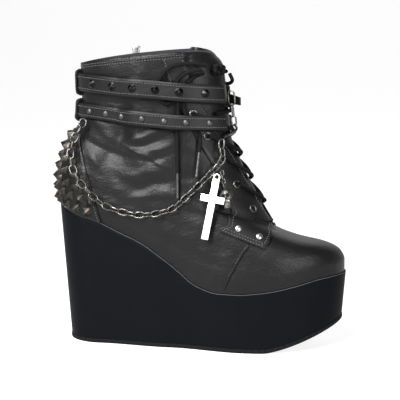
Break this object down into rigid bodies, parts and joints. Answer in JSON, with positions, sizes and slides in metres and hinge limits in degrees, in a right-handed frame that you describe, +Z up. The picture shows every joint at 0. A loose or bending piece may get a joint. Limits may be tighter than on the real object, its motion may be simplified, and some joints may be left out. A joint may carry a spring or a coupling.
{
  "type": "wedge boot",
  "caption": "Black lace-up platform wedge ankle boot, right foot, with studded heel, two ankle straps, swag chain and hanging pendants.",
  "frame": {"origin": "on the outsole's flat underside, near the middle of its length, under the shoe's middle line", "axes": "+X to the toe, -Y to the shoe's outer side, +Z up"},
  "size_m": [0.2852, 0.1036, 0.2863],
  "materials": {
    "black_leather": "soft semi-gloss synthetic leather, creased",
    "wedge_cover": "smooth matte covering",
    "outsole_rubber": "matte",
    "lining": "matte woven lining",
    "lace": "braided, matte",
    "nickel": "polished nickel",
    "gunmetal": "dark antique metal",
    "bright_metal": "polished"
  },
  "bodies": {
    "root": {"chain": "gunmetal", "clasp": "gunmetal", "eyelet_inner_1": "nickel", "eyelet_inner_2": "nickel", "eyelet_inner_3": "nickel", "eyelet_inner_4": "nickel", "eyelet_inner_5": "nickel", "eyelet_inner_6": "nickel", "eyelet_outer_1": "nickel", "eyelet_outer_2": "nickel", "eyelet_outer_3": "nickel", "eyelet_outer_4": "nickel", "eyelet_outer_5": "nickel", "eyelet_outer_6": "nickel", "eyestay_inner": "black_leather", "eyestay_outer": "black_leather", "heel_counter": "black_leather", "insole": "lining", "keeper_lower": "black_leather", "keeper_upper": "black_leather", "lace_crossing_1": "lace", "lace_crossing_2": "lace", "lace_crossing_3": "lace", "lace_crossing_4": "lace", "lace_crossing_5": "lace", "lace_end_inner": "lace", "lace_end_outer": "lace", "lace_knot": "lace", "lace_loop_inner": "lace", "lace_loop_outer": "lace", "lace_tip_inner": "nickel", "lace_tip_outer": "nickel", "lace_top_inner": "lace", "lace_top_outer": "lace", "outsole": "outsole_rubber", "rivet_inner_1": "nickel", "rivet_inner_2": "nickel", "rivet_outer_1": "nickel", "rivet_outer_2": "nickel", "strap_lower": "black_leather", "strap_tip": "black_leather", "strap_upper": "black_leather", "tongue": "black_leather", "upper": "black_leather", "vamp_seam_inner": "black_leather", "vamp_seam_outer": "black_leather", "wedge": "wedge_cover", "zip_slider": "nickel", "zip_teeth": "nickel"},
    "cross": {"cross": "bright_metal"},
    "skull": {"skull": "gunmetal"},
    "zip_pull": {"zip_pull": "nickel"}
  },
  "joints": [
    {"name": "cross_swing", "type": "hinge", "parent": "root", "child": "cross", "pos_m": [0.0212, -0.0445, 0.16], "axis": [0.0242, -0.9906, 0.1343], "range_deg": [-25, 25]},
    {"name": "skull_swing", "type": "hinge", "parent": "root", "child": "skull", "pos_m": [0.025, -0.0345, 0.168], "axis": [-0.0502, -0.9667, 0.251], "range_deg": [-18, 20]},
    {"name": "zip_pull_lift", "type": "hinge", "parent": "root", "child": "zip_pull", "pos_m": [-0.07077, 0.04141, 0.28127], "axis": [0.987, 0.161, 0], "range_deg": [0, 100]}
  ]
}
